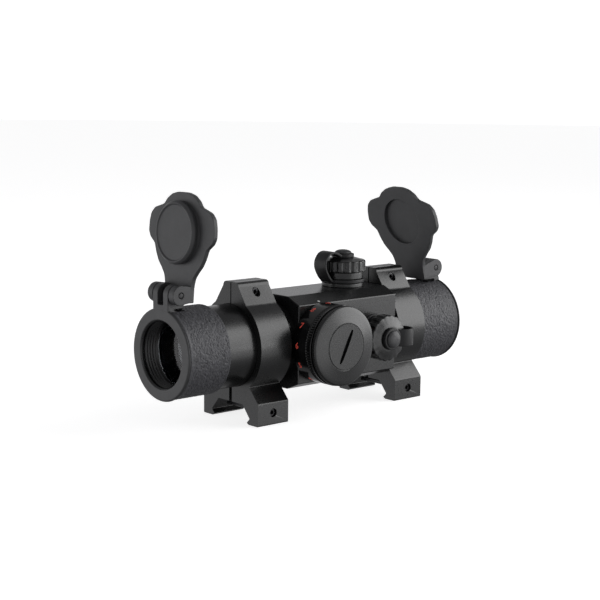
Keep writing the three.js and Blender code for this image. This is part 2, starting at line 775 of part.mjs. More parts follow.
function turret(side, stand, standHeight, strapTurn) {
  piece(stand, side + "_turret_base", anodised(), turretBase());
  piece(stand, side + "_adjustment_screw", steel(), adjustmentScrew(standHeight));
  piece(stand, side + "_screw_pad", steel(), screwPad(standHeight));
  piece(stand, side + "_turret_cap", anodised(), turretCapBody());
  piece(stand, side + "_strap_rivet", plastic(), rivet());
  piece(stand, side + "_cap_strap", rubber(), strap().rotate([0, 0, strapTurn]));
}

const elevationStand = groupAt(sight, turretX, 0, blockTop);
turret("elevation", elevationStand, blockTop, 180);

const windageStand = groupAt(sight, turretX, -blockHalfWidth, 0);
windageStand.rotation.x = Math.PI / 2;
turret("windage", windageStand, blockHalfWidth, 0);

// ---------------------------------------------------------------- brightness dial and battery
const dialStand = groupAt(sight, 0, -blockHalfWidth, 0);
dialStand.rotation.x = Math.PI / 2;

function rheostatHousing() {
  const groove = housingRadius - snapRingDepth;
  const grooveTop = snapRingLow + snapRingHeight + seat;
  const cup = turned([
    [housingEye, turnedSeat], [housingRadius, turnedSeat], [housingRadius, snapRingLow],
    [groove, snapRingLow], [groove, grooveTop], [housingRadius, grooveTop],
    [housingRadius, housingHeight], [housingBore, housingHeight], [housingBore, housingFloor],
    [housingEye, housingFloor],
  ]);
  const ballHole = alongX(disc(detentBall + running, housingBore - 1, housingRadius + 1, coarse));
  return without(cup, ballHole.translate([0, 0, detentHeight]));
}
piece(dialStand, "rheostat_housing", blackSteel(), rheostatHousing());

function dialSnapRing() {
  const inner = housingRadius - snapRingDepth + seat;
  const outer = housingRadius + snapRingReach;
  const whole = ring(inner, outer, snapRingLow + seat / 2, snapRingLow + snapRingHeight);
  return without(whole, box(4, 2.4, 4, -housingRadius, 0, snapRingLow));
}
piece(dialStand, "dial_snap_ring", steel(), dialSnapRing());

const ball = solid(new THREE.SphereGeometry(detentBall, 12, 8));
const ballReach = dialBore - running - detentBall;
piece(dialStand, "detent_ball", steel(), ball.translate([ballReach, 0, detentHeight]));

const board = disc(housingBore - seat, boardLow, boardLow + boardThickness);
piece(dialStand, "switch_board", circuitBoard(), board);

// A round foot on the board and a finger that bears on the battery.
function batteryContact() {
  const foot = disc(3, contactLow, contactLow + contactSheet, coarse);
  const knee = contactHeight - contactSheet;
  const side = [
    at(-2.6, 0), at(5.6, knee), at(6.2, knee), at(6.2, contactHeight), at(5.4, contactHeight),
    at(-2.6, contactSheet),
  ];
  return joined(foot, slab(side, -1, 1).translate([0, 0, contactLow]));
}
piece(dialStand, "battery_contact", steel(), batteryContact());

function battery() {
  const can = batteryLow + batteryStepHeight;
  const high = batteryLow + batteryThickness;
  return turned([
    [0, batteryLow], [batteryRadius - batteryStep, batteryLow], [batteryRadius - batteryStep, can],
    [batteryRadius, can], [batteryRadius, high], [0, high],
  ]);
}
piece(dialStand, "coin_battery", steel(), battery());

function brightnessDial() {
  const step = snapRingLow - turnedSeat;
  return turned([
    [dialBore, dialSetoff], [dialRadius - dialEdge, dialSetoff],
    [dialRadius, dialSetoff + dialEdge], [dialRadius, dialHeight - dialEdge],
    [dialRadius - dialEdge, dialHeight], [dialMouth, dialHeight], [dialMouth, step],
    [dialBore, step],
  ], fine);
}
piece(dialStand, "brightness_dial", gloss(), brightnessDial());

const batteryCapLow = dialHeight + 0.15;
const oringInner = dialMouth - oringSection / 2;
const oringOuter = oringInner + oringSection;
function batteryCap() {
  const rim = batteryCapLow + batteryCapHeight;
  const face = rim + batteryCapCone;
  const groove = batteryCapLow + oringGroove;
  const bossLow = batteryCapLow - bossHeight;
  const cap = turned([
    [0, bossLow], [batteryCapBoss, bossLow], [batteryCapBoss, batteryCapLow],
    [oringInner - seat, batteryCapLow], [oringInner - seat, groove],
    [oringOuter + seat, groove], [oringOuter + seat, batteryCapLow],
    [batteryCapRadius, batteryCapLow], [batteryCapRadius, rim - dialEdge],
    [batteryCapRadius - dialEdge, rim], [batteryCapFlat, face], [0, face],
  ], fine);
  const reach = coinSlotLength / 2;
  const tipHalf = 0.35 * coinSlotWidth;
  const slot = mirrored([at(tipHalf, -reach), at(coinSlotWidth / 2, 0), at(tipHalf, reach)]);
  const cutter = prism(slot, face - coinSlotDepth, face + 1);
  return without(cap, cutter.rotate([0, 0, coinSlotTurn - 90]));
}
piece(dialStand, "battery_cap", anodised(), batteryCap());

const seal = ring(oringInner, oringOuter, batteryCapLow - 0.1, batteryCapLow + oringGroove - seat);
piece(dialStand, "battery_cap_seal", rubber(), seal);

export default finder;
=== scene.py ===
import json
import math

import bmesh
import bpy
from mathutils import Matrix, Vector, noise


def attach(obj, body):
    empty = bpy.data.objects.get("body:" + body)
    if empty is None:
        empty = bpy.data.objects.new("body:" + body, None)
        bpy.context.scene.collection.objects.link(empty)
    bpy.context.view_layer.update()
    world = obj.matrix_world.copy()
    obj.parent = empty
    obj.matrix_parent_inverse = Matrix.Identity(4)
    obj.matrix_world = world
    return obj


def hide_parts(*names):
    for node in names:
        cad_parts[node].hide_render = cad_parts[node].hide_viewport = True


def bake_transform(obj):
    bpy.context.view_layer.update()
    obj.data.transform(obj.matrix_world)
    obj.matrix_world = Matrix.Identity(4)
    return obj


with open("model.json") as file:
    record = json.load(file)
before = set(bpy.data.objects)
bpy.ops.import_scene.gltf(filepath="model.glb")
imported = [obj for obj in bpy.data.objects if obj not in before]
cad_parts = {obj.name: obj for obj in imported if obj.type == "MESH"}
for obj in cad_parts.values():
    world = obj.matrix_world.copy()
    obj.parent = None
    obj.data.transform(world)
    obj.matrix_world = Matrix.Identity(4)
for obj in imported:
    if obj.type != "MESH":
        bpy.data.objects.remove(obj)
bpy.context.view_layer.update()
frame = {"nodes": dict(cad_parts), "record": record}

# ---------------------------------------------------------------- dimensions, mm
# The name of a round thing alone is its radius, and HALF is half of a width.
TUBE, BORE = 15.0, 12.9
REAR, FRONT = -61.5, 73.8
AXIS_HEIGHT = 20.6
TUBE_SETBACK = 3.0
SLEEVE, FLANGE_RIM, FLANGE = 16.1, 16.4, 0.8
LENS_BORE, BEZEL_BARREL, BEZEL_DEPTH = 11.7, 12.8, 7.5
THREAD_TURNS, THREAD_START, THREAD_PITCH, THREAD_DEPTH = 5, 1.5, 1.15, 0.55
PIN_HEIGHT, KNUCKLE, PIN, PIN_REACH = 21.2, 3.5, 1.0, 7.4
LUG_HALF, LUG_ROOT, LUG_BACK, KNUCKLE_SPAN = 4.3, 13, 2.9, 7.5
CAP_UNDERSIDE, CAP_FACE = 0.35, 2.05
PLUG, RECESS, RECESS_DEPTH = 11.1, 9.2, 2.0
COIL, COIL_TURNS, COIL_STEPS, COIL_WIRE = 1.6, 3, 28, 0.25
RING_WIDTH, RING_OUTER, RING_BORE = 14.1, 17.35, 15.1
REAR_RING, FRONT_RING = -23.3, 45.3
EAR_TOP, EAR_HALF, EAR_ROOT = 23.1, 4.4, 8.8
EAR_ROOT_HEIGHT = math.sqrt(RING_OUTER**2 - EAR_ROOT**2)
EAR_ROUND, EAR_SPLIT, FOOT_SPLIT, WAIST = 1.6, 0.25, 0.8, 10.6
ROOF, FOOT_BOTTOM, FOOT_HALF, SHOULDER = -20.6, -27.5, 15.7, -19.3
EAR_SCREW_HEIGHT, BOLT_HEIGHT = 19.4, -23.1
SCREW_HEAD, SCREW_SHANK, SCREW_HOLE, SCREW_SINK, HEX_SOCKET = 1.5, 1.1, 1.2, 0.8, 0.86
HEAD_SEAT, HEAD_SEAT_DEPTH, NUT, NUT_POCKET, NUT_POCKET_DEPTH = 1.62, 2.6, 2.9, 3.2, 2.2
BLOCK_REAR, BLOCK_FRONT, BLOCK_HALF, BLOCK_TOP = -11.5, 37.7, 15.6, 17.1
BLOCK_CORNER_HEIGHT, BLOCK_CORNER_HALF = 14.4, 9.3
TURRET_X, TURRET_CAP, CAP_MOUTH, FLUTES = 24.4, 8.65, 7.05, 18
CAP_LOW, CAP_EDGE, CAP_TOP = 5.7, 10.0, 10.9
EYE, EYE_BORE, EYE_LOW, EYE_HIGH = 8.4, 7.1, 1.6, 3.0
DISC, RIVET_HOLE, DISC_LOW, DISC_HIGH = 4.2, 1.4, 11.0, 12.4
DIAL, DIAL_BORE, DIAL_LOW, DIAL_HEIGHT = 14.7, 12.4, 0.4, 9.9
DIAL_LIP, DIAL_LIP_LOW, DIAL_KNURLS = 13.05, 6.9, 48
NUMERALS, NUMERAL_SIZE, NUMERAL_HEIGHT, NUMERAL_DEPTH = 12, 3.1, 2.7, 0.05
NUMERAL_STEP, NUMERAL_MIDDLE = 29.4, 178  # degrees round the drum
INDEX_X, INDEX_Y, INDEX_DOT = -0.8, -14.27, 0.46
COVER, COVER_SEAT, COVER_LOW, COVER_RIM, COVER_FACE = 14.5, 11.6, 10.05, 12.05, 13.05
COVER_TEETH, COIN_SLOT_DEPTH, COIN_SLOT_DEGREES = 66, 1.1, 64
SEAL_INNER, SEAL_OUTER = 12.55, 13.55
SLEEVE_GRID, SLEEVE_SIDES, GRAIN_SPACING = 0.24, 440, 12.5
GRAIN_SEED = Vector((3.1, 7.7, 1.3))
GRAIN_SHIFTS = (Vector((9.3, -1.5, -8.0)), Vector((0, 0, 0)), Vector((6.3, 0.2, -2.7)))

# -------------------------------------------------------- camera and light, metres and degrees
AZIMUTH, ELEVATION, ROLL = -41.476, 8.641, -0.613
TARGET, CAMERA_DISTANCE = Vector((0.002739, 0, 0.033962)), 0.538652
LENS_MM, SENSOR_MM = 86.5, 36
LIGHT_AIM = Vector((0, 0, 0.02))
FLOOR_HALF = 4.0

# ---------------------------------------------------------------- places
TO_FRAME = Matrix.Scale(0.001, 4) @ Matrix.Translation((0, 0, AXIS_HEIGHT))
ALONG_X = Matrix.Rotation(math.pi / 2, 4, "Y")
ALONG_Y = Matrix.Rotation(-math.pi / 2, 4, "X")
MINUS_Y = Matrix.Rotation(math.pi / 2, 4, "X")
CROSSWAYS = Matrix(((0, 0, 1, 0), (1, 0, 0, 0), (0, 1, 0, 0), (0, 0, 0, 1)))
DIAL_STAND = Matrix.Translation((0, -BLOCK_HALF, 0)) @ MINUS_Y
ELEVATION_STAND = Matrix.Translation((TURRET_X, 0, BLOCK_TOP))
WINDAGE_STAND = Matrix.Translation((TURRET_X, -BLOCK_HALF, 0)) @ MINUS_Y
REAR_END = Matrix.Translation((REAR, 0, 0))
FRONT_END = Matrix.Translation((FRONT, 0, 0)) @ Matrix.Rotation(math.pi, 4, "Z")


# ---------------------------------------------------------------- mesh tools
def mesh_of(name, verts, faces):
    mesh = bpy.data.meshes.new(name)
    mesh.from_pydata([tuple(v) for v in verts], [], faces)
    obj = bpy.data.objects.new(name, mesh)
    bpy.context.scene.collection.objects.link(obj)
    outward(obj)
    return obj


def outward(obj):
    bm = bmesh.new()
    bm.from_mesh(obj.data)
    bmesh.ops.recalc_face_normals(bm, faces=bm.faces)
    bm.to_mesh(obj.data)
    bm.free()


def turned(profile, sides=96, closed=None):
    """A solid of revolution about +Z from (radius, height) points."""
    if closed is None:
        closed = profile[0][0] != 0 or profile[-1][0] != 0
    verts, rows = [], []
    for radius, height in profile:
        if radius == 0:
            rows.append([len(verts)] * sides)
            verts.append((0, 0, height))
            continue
        rows.append(list(range(len(verts), len(verts) + sides)))
        for i in range(sides):
            angle = 2 * math.pi * i / sides
            verts.append((radius * math.cos(angle), radius * math.sin(angle), height))
    faces = []
    pairs = list(zip(rows, rows[1:])) + ([(rows[-1], rows[0])] if closed else [])
    for low, high in pairs:
        for i in range(sides):
            j = (i + 1) % sides
            ids = []
            for v in (low[i], low[j], high[j], high[i]):
                if v not in ids:
                    ids.append(v)
            if len(ids) > 2:
                faces.append(ids)
    return mesh_of("turned", verts, faces)


def soft(points, radius, steps=3, closed=True):
    """The outline with each corner rounded. A third number on a point is its own radius."""
    out = []
    count = len(points)
    for i, point in enumerate(points):
        here = Vector(point[:2])
        reach = point[2] if len(point) > 2 else radius
        if reach <= 0 or (not closed and i in (0, count - 1)):
            out.append(tuple(here))
            continue
        before = Vector(points[i - 1][:2]) - here
        after = Vector(points[(i + 1) % count][:2]) - here
        reach = min(reach, 0.46 * before.length, 0.46 * after.length)
        start, end = here + before.normalized() * reach, here + after.normalized() * reach
        for k in range(steps + 1):
            t = k / steps
            out.append(tuple(start * (1 - t) ** 2 + here * (2 * t * (1 - t)) + end * t * t))
    return out


def arc(cx, cy, radius, start, end, steps):
    angles = [start + (end - start) * i / steps for i in range(steps + 1)]
    return [(cx + radius * math.cos(a), cy + radius * math.sin(a)) for a in angles]


def prism(outline, low, high):
    count = len(outline)
    verts = [(x, y, low) for x, y in outline] + [(x, y, high) for x, y in outline]
    faces = [list(range(count))[::-1], list(range(count, 2 * count))]
    for i in range(count):
        j = (i + 1) % count
        faces.append([i, j, count + j, count + i])
    return mesh_of("prism", verts, faces)


def slab(outline, low, high):
    """A prism of an (x, z) outline between two values of y."""
    return moved(prism(outline, -high, -low), MINUS_Y)


def crossways(outline, low, high):
    """A prism of a (y, z) outline between two values of x."""
    return moved(prism(outline, low, high), CROSSWAYS)


def disc(radius, low, high, sides=48):
    return turned([(0, low), (radius, low), (radius, high), (0, high)], sides)


def box(x0, x1, y0, y1, z0, z1):
    return prism([(x0, y0), (x1, y0), (x1, y1), (x0, y1)], z0, z1)


def polygon(count, radius, phase=0.0):
    return [
        (radius * math.cos(phase + 2 * math.pi * i / count),
         radius * math.sin(phase + 2 * math.pi * i / count))
        for i in range(count)
    ]


def moved(obj, matrix):
    obj.data.transform(matrix)
    return obj


def applied(obj):
    graph = bpy.context.evaluated_depsgraph_get()
    mesh = bpy.data.meshes.new_from_object(obj.evaluated_get(graph))
    old = obj.data
    obj.modifiers.clear()
    obj.data = mesh
    bpy.data.meshes.remove(old)
    return obj


def without(obj, *tools):
    for tool in tools:
        modifier = obj.modifiers.new("boolean", "BOOLEAN")
        modifier.object = tool
        modifier.operation = "DIFFERENCE"
        modifier.solver = "EXACT"
    applied(obj)
    for tool in tools:
        bpy.data.objects.remove(tool)
    return obj


def together(*objs):
    """One object of several separate shells."""
    bm = bmesh.new()
    for obj in objs:
        bm.from_mesh(obj.data)
    mesh = bpy.data.meshes.new("together")
    bm.to_mesh(mesh)
    bm.free()
    for obj in objs:
        bpy.data.objects.remove(obj)
    made = bpy.data.objects.new("together", mesh)
    bpy.context.scene.collection.objects.link(made)
    return made


def bevelled(obj, width, segments=2, angle=32):
    modifier = obj.modifiers.new("bevel", "BEVEL")
    modifier.width = width
    modifier.segments = segments
    modifier.limit_method = "ANGLE"
    modifier.angle_limit = math.radians(angle)
    modifier.miter_outer = "MITER_ARC"
    return applied(obj)


def swept(points, radius, sides=12):
    """A closed round tube along points."""
    rings, verts, faces = [], [], []
    side = None
    for i, point in enumerate(points):
        ahead = points[min(i + 1, len(points) - 1)] - points[max(i - 1, 0)]
        ahead.normalize()
        if side is None:
            side = ahead.orthogonal().normalized()
        side = (side - ahead * side.dot(ahead)).normalized()
        across = ahead.cross(side)
        rings.append(range(len(verts), len(verts) + sides))
        for k in range(sides):
            a = 2 * math.pi * k / sides
            verts.append(point + side * (radius * math.cos(a)) + across * (radius * math.sin(a)))
    for low, high in zip(rings, rings[1:]):
        for k in range(sides):
            j = (k + 1) % sides
            faces.append([low[k], low[j], high[j], high[k]])
    faces += [list(rings[0])[::-1], list(rings[-1])]
    return mesh_of("swept", verts, faces)


def spline(points, per_span=8):
    """A Catmull-Rom curve through the points."""
    points = [Vector(p) for p in points]
    out = []
    for i in range(len(points) - 1):
        a, b = points[max(i - 1, 0)], points[i]
        c, d = points[i + 1], points[min(i + 2, len(points) - 1)]
        for k in range(per_span):
            t = k / per_span
            out.append(0.5 * (2 * b + (c - a) * t + (2 * a - 5 * b + 4 * c - d) * t * t
                              + (3 * b - a - 3 * c + d) * t**3))
    return out + [points[-1]]


# ---------------------------------------------------------------- materials
class Look:
    """A node material on the Principled shader, with helpers for procedural detail."""

    def __init__(self, name, color, roughness, **values):
        self.material = bpy.data.materials.new(name)
        self.material.use_nodes = True
        self.nodes = self.material.node_tree.nodes
        self.links = self.material.node_tree.links
        self.shader = self.nodes["Principled BSDF"]
        self.color = color
        self.shader.inputs["Base Color"].default_value = (*color, 1)
        self.shader.inputs["Roughness"].default_value = roughness
        for key, value in values.items():
            self.shader.inputs[key.replace("_", " ")].default_value = value
        self.where = self.nodes.new("ShaderNodeTexCoord").outputs["Object"]
        self.height = None

    def pattern(self, size_mm, detail, stretch=None):
        source = self.where
        if stretch:
            mapping = self.nodes.new("ShaderNodeMapping")
            mapping.inputs["Scale"].default_value = stretch
            self.links.new(source, mapping.inputs["Vector"])
            source = mapping.outputs["Vector"]
        node = self.nodes.new("ShaderNodeTexNoise")
        node.inputs["Detail"].default_value = detail
        node.inputs["Scale"].default_value = 1000 / size_mm
        self.links.new(source, node.inputs["Vector"])
        return node.outputs["Fac"]

    def ramp(self, factor, low, high, start=0.3, end=0.7):
        node = self.nodes.new("ShaderNodeMapRange")
        node.inputs["From Min"].default_value = start
        node.inputs["From Max"].default_value = end
        node.inputs["To Min"].default_value = low
        node.inputs["To Max"].default_value = high
        self.links.new(factor, node.inputs["Value"])
        return node.outputs["Result"]

    def tint(self, factor, low=0.8, high=1.2):
        """Base colour varied by the factor."""
        node = self.nodes.new("ShaderNodeMix")
        node.data_type = "RGBA"
        node.inputs["A"].default_value = (*(c * low for c in self.color), 1)
        node.inputs["B"].default_value = (*(c * high for c in self.color), 1)
        self.links.new(self.ramp(factor, 0, 1), node.inputs["Factor"])
        out = node.outputs["Result"]
        self.links.new(out, self.shader.inputs["Base Color"])
        return self

    def rough(self, factor, low, high):
        self.links.new(self.ramp(factor, low, high), self.shader.inputs["Roughness"])
        return self

    def bump(self, factor, depth_mm, strength=1.0):
        node = self.nodes.new("ShaderNodeBump")
        node.inputs["Distance"].default_value = depth_mm / 1000
        node.inputs["Strength"].default_value = strength
        self.links.new(factor, node.inputs["Height"])
        if self.height is not None:
            self.links.new(self.height, node.inputs["Normal"])
        self.height = node.outputs["Normal"]
        self.links.new(self.height, self.shader.inputs["Normal"])
        return self


anodised = Look("satin_black_anodising", (0.009, 0.0094, 0.0096), 0.29, Specular_IOR_Level=0.6)
anodised.tint(anodised.pattern(7, 4), 0.85, 1.15)
anodised.rough(anodised.pattern(0.5, 5), 0.26, 0.33)
anodised.bump(anodised.pattern(0.12, 2), 0.0012, 0.4)

matte_bore = Look("matte_black_bore", (0.006, 0.006, 0.006), 0.7, Specular_IOR_Level=0.2)
matte_bore.tint(matte_bore.pattern(3, 3), 0.8, 1.2)
matte_bore.rough(matte_bore.pattern(1.5, 2), 0.62, 0.78)

armour = Look("rubber_armour", (0.062, 0.062, 0.068), 0.5, Specular_IOR_Level=0.4)
armour.tint(armour.pattern(1.1, 4), 0.72, 1.3)
armour.rough(armour.pattern(0.6, 3), 0.42, 0.6)
armour.bump(armour.pattern(0.5, 3, stretch=(1.7, 0.7, 0.7)), 0.07, 0.8)
armour.bump(armour.pattern(0.16, 2), 0.02, 0.6)

cap_plastic = Look("cap_plastic", (0.05, 0.0505, 0.0525), 0.45, Specular_IOR_Level=0.4)
cap_plastic.tint(cap_plastic.pattern(5, 3), 0.92, 1.08)
cap_plastic.rough(cap_plastic.pattern(0.4, 4), 0.38, 0.5)
cap_plastic.bump(cap_plastic.pattern(0.13, 2), 0.01, 0.7)

bezel_plastic = Look("bezel_plastic", (0.04, 0.0405, 0.042), 0.42, Specular_IOR_Level=0.5)
bezel_plastic.tint(bezel_plastic.pattern(4, 3), 0.9, 1.1)
bezel_plastic.rough(bezel_plastic.pattern(0.4, 4), 0.36, 0.5)
bezel_plastic.bump(bezel_plastic.pattern(0.15, 2), 0.006, 0.6)

strap_rubber = Look("strap_rubber", (0.018, 0.018, 0.019), 0.45, Specular_IOR_Level=0.3)
strap_rubber.tint(strap_rubber.pattern(2, 3), 0.85, 1.2)
strap_rubber.rough(strap_rubber.pattern(0.5, 3), 0.38, 0.52)
strap_rubber.bump(strap_rubber.pattern(0.25, 2), 0.01, 0.5)

dial_gloss = Look("dial_gloss_black", (0.005, 0.005, 0.0055), 0.16, Specular_IOR_Level=0.5)
dial_gloss.tint(dial_gloss.pattern(3, 2), 0.8, 1.3)
dial_gloss.rough(dial_gloss.pattern(0.8, 4), 0.11, 0.2)
dial_gloss.bump(dial_gloss.pattern(1.4, 1), 0.004, 0.4)

black_steel = Look("black_oxide_steel", (0.016, 0.016, 0.018), 0.34, Metallic=0.3)
black_steel.tint(black_steel.pattern(0.9, 4), 0.7, 1.4)
black_steel.rough(black_steel.pattern(0.3, 3), 0.27, 0.42)
black_steel.bump(black_steel.pattern(0.12, 2), 0.004, 0.5)

steel = Look("bright_steel", (0.46, 0.46, 0.47), 0.28, Metallic=1.0)
steel.tint(steel.pattern(0.8, 4), 0.85, 1.1)
steel.rough(steel.pattern(0.3, 4), 0.22, 0.36)
steel.bump(steel.pattern(0.1, 2), 0.003, 0.5)

red_paint = Look("red_numeral_paint", (0.85, 0.1, 0.07), 0.45)
red_paint.tint(red_paint.pattern(0.4, 3), 0.9, 1.1)
red_paint.rough(red_paint.pattern(0.3, 2), 0.38, 0.52)
white_paint = Look("white_index_paint", (0.8, 0.8, 0.78), 0.45)
white_paint.tint(white_paint.pattern(0.3, 3), 0.95, 1.03)
white_paint.rough(white_paint.pattern(0.3, 2), 0.4, 0.5)

window_glass = Look("coated_window", (0.86, 0.9, 0.95), 0.02,
                    Transmission_Weight=1.0, IOR=1.52)
window_glass.rough(window_glass.pattern(4, 2), 0.0, 0.01)
reflector_glass = Look("red_coated_reflector", (0.95, 0.55, 0.48), 0.02,
                       Transmission_Weight=1.0, IOR=1.52)
reflector_glass.rough(reflector_glass.pattern(4, 2), 0.0, 0.01)
board = Look("circuit_board", (0.02, 0.11, 0.045), 0.45)
board.tint(board.pattern(1.2, 3), 0.8, 1.2)
board.bump(board.pattern(0.6, 2), 0.01, 0.5)
copper_film = Look("copper_film", (0.42, 0.19, 0.05), 0.42)
copper_film.tint(copper_film.pattern(0.8, 3), 0.85, 1.15)
copper_film.bump(copper_film.pattern(0.5, 2), 0.006, 0.5)

SLOTS = {
    "anodised": anodised, "armour": armour, "cap_plastic": cap_plastic,
    "bezel_plastic": bezel_plastic, "strap_rubber": strap_rubber, "dial_gloss": dial_gloss,
    "black_steel": black_steel, "steel": steel, "window_glass": window_glass,
    "reflector_glass": reflector_glass, "board": board, "copper_film": copper_film,
}


# ---------------------------------------------------------------- pieces
def shaded(obj, look, sharp=38):
    """Smooth shading that breaks at sharp edges, and the look's material."""
    bm = bmesh.new()
    bm.from_mesh(obj.data)
    bmesh.ops.recalc_face_normals(bm, faces=bm.faces)
    limit = math.radians(sharp)
    for face in bm.faces:
        face.smooth = True
    for edge in bm.edges:
        edge.smooth = len(edge.link_faces) == 2 and edge.calc_face_angle(0) < limit
    bm.to_mesh(obj.data)
    bm.free()
    obj.data.materials.clear()
    obj.data.materials.append(look.material)


def piece(name, obj, body, slot, node=None, place=None, sharp=38, weighted=True, look=None):
    """Places the object, gives it its slot's look or its own look, parents it to its body's empty
    and hides the CAD node it stands in for.
    """
    obj.name = name
    obj.data.name = name
    moved(obj, TO_FRAME @ (place or Matrix.Identity(4)))
    shaded(obj, look or SLOTS[slot], sharp)
    if weighted:
        modifier = obj.modifiers.new("weighted", "WEIGHTED_NORMAL")
        modifier.keep_sharp = True
        modifier.mode = "FACE_AREA_WITH_ANGLE"
    if body:
        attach(obj, body)
    if node:
        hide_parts(node)
    return obj


def inside_look(obj, look, reach):
    """Gives the faces nearer the tube's axis than reach a look of their own."""
    obj.data.materials.append(look.material)
    for face in obj.data.polygons:
        away = 1000 * math.hypot(face.center.y, face.center.z - AXIS_HEIGHT / 1000)
        if away < reach and abs(face.normal.x) < 0.95:
            face.material_index = 1


# ---------------------------------------------------------------- main tube
def main_tube():
    rear, front = REAR + TUBE_SETBACK, FRONT - TUBE_SETBACK
    profile = soft([(BORE, rear), (TUBE, rear), (TUBE, front), (BORE, front)], 0.25)
    tube = moved(turned(profile, 192), ALONG_X)
    top = [
        (BLOCK_HALF, BLOCK_CORNER_HEIGHT), (BLOCK_CORNER_HALF, BLOCK_TOP),
        (-BLOCK_CORNER_HALF, BLOCK_TOP), (-BLOCK_HALF, BLOCK_CORNER_HEIGHT),
    ]
    outline = top + [(-y, -z) for y, z in top]
    block = crossways(outline, BLOCK_REAR, BLOCK_FRONT)
    bore = moved(disc(TUBE - 0.15, BLOCK_REAR - 1, BLOCK_FRONT + 1, 192), ALONG_X)
    block = bevelled(without(block, bore), 0.32, 3, 18)
    body = piece("main_tube_body", together(tube, block), "sight", "anodised", "main_tube")
    inside_look(body, matte_bore, BORE + 0.1)


def index_dot():
    """A painted dot on the block's upper chamfer, beside the dial's numerals."""
    dot = turned(soft([
        (0, -0.1), (INDEX_DOT, -0.1), (INDEX_DOT, 0.02), (0, 0.05),
    ], 0.02, 2, False), 32)
    rise, run = BLOCK_TOP - BLOCK_CORNER_HEIGHT, BLOCK_HALF - BLOCK_CORNER_HALF
    index_height = BLOCK_CORNER_HEIGHT + (BLOCK_HALF + INDEX_Y) * rise / run
    tilt = Matrix.Rotation(math.atan2(rise, run), 4, "X")
    place = Matrix.Translation((INDEX_X, INDEX_Y, index_height)) @ tilt
    piece("index_dot", dot, "sight", None, place=place, look=white_paint)


# ---------------------------------------------------------------- tube ends
def bezel(side, end, inset):
    """Threaded lens ring with the hinge lug."""
    root = LENS_BORE + THREAD_DEPTH
    threads = []
    for i in range(THREAD_TURNS):
        low = THREAD_START + THREAD_PITCH * i
        threads += [(LENS_BORE, low), (root, low + 0.5), (root, low + 0.65)]
    threads.append((LENS_BORE, BEZEL_DEPTH))
    round_edge = arc(FLANGE_RIM - 0.7, 0.7, 0.7, 0, -math.pi / 2, 6)
    profile = soft([
        (LENS_BORE, BEZEL_DEPTH, 0), (BEZEL_BARREL, BEZEL_DEPTH, 0), (BEZEL_BARREL, LUG_BACK, 0),
        (TUBE, LUG_BACK), (TUBE, FLANGE), (FLANGE_RIM, FLANGE),
        *((radius, depth, 0) for radius, depth in round_edge),
        (LENS_BORE + 0.7, 0, 0.3), (LENS_BORE, 0.7, 0.2),
    ], 0.12, 4)
    # The threads end on the profile's first corner, which is left out.
    ring = moved(turned(profile[1:] + threads, 160), ALONG_X)
    lift = SLEEVE + 0.1
    outline = [(0.05, LUG_ROOT), (0.05, lift)]
    outline += arc(inset, PIN_HEIGHT, KNUCKLE, math.pi, 0, 24)
    outline += [(inset + KNUCKLE, lift + 0.6), (inset + KNUCKLE - 0.5, lift)]
    outline += [(LUG_BACK, lift), (LUG_BACK, LUG_ROOT)]
    lug = slab(outline, -LUG_HALF, LUG_HALF)
    slot = box(-5, 20, -1.6, 1.6, PIN_HEIGHT - KNUCKLE, PIN_HEIGHT + 9)
    pin_axis = Matrix.Translation((inset, 0, PIN_HEIGHT)) @ ALONG_Y
    hole = moved(disc(PIN + 0.08, -20, 20, 32), pin_axis)
    lug = bevelled(without(lug, slot, hole), 0.28, 3)
    made = piece(side + "_bezel_ring", together(ring, lug), "sight", "bezel_plastic",
                 side + "_bezel", end)
    inside_look(made, anodised, LENS_BORE + 0.6)


def sleeve(side, end, length, inset):
    """Rubber armour with a moulded leather grain, drawn as a fine grid and displaced."""
    inner, outer = TUBE + 0.05, SLEEVE
    start = FLANGE + 0.3
    profile = [(inner, start), (outer - 0.2, start), (outer, start + 0.2)]
    straight = length - start - 0.7
    steps = int(straight / SLEEVE_GRID)
    profile += [(outer, start + 0.2 + straight * i / steps) for i in range(1, steps + 1)]
    profile += arc(outer - 0.5, length - 0.5, 0.5, 0, math.pi / 2, 4)[1:]
    profile += [(inner, length)]
    obj = turned(profile, SLEEVE_SIDES)
    for vertex in obj.data.vertices:
        x, y, z = vertex.co
        radius = math.hypot(x, y)
        if radius < outer - 0.1:
            continue
        angle = math.atan2(y, x)
        ease = min(1.0, (z - start - 0.6) / 0.8, (length - 0.5 - z) / 0.6)
        if ease <= 0:
            continue
        spot = Vector((math.cos(angle) * GRAIN_SPACING, math.sin(angle) * GRAIN_SPACING, z / 0.72))
        spot += GRAIN_SEED
        spot += 0.4 * Vector([noise.noise(spot * 0.5 + shift) for shift in GRAIN_SHIFTS])
        crease = max(0.0, 1 - abs(noise.noise(spot)) / 0.26)
        small = max(0.0, 1 - abs(noise.noise(spot * 1.7 + GRAIN_SEED)) / 0.3)
        drop = -ease * (0.16 * crease + 0.08 * small)
        vertex.co.x += drop * math.cos(angle)
        vertex.co.y += drop * math.sin(angle)
    moved(obj, ALONG_X)
    reach = inset + KNUCKLE + 0.3
    obj = without(obj, box(-1, reach, -LUG_HALF - 0.3, LUG_HALF + 0.3, 8, 20))
    piece(side + "_sleeve_grain", obj, "sight", "armour", side + "_rubber_sleeve", end, 50, False)


# One side of the cap's lobed outline, as shares of the tube's radius about the pin's height.
CAP_SHAPE = [
    (0.553, -1.013), (0.667, -0.867), (0.807, -0.72), (0.913, -0.533), (0.993, -0.32),
    (1.173, -0.187), (1.247, -0.053), (1.24, 0.187), (1.187, 0.387), (1.053, 0.52),
    (0.693, 0.627), (0.587, 0.76), (0.4, 0.88), (0.173, 0.933),
]


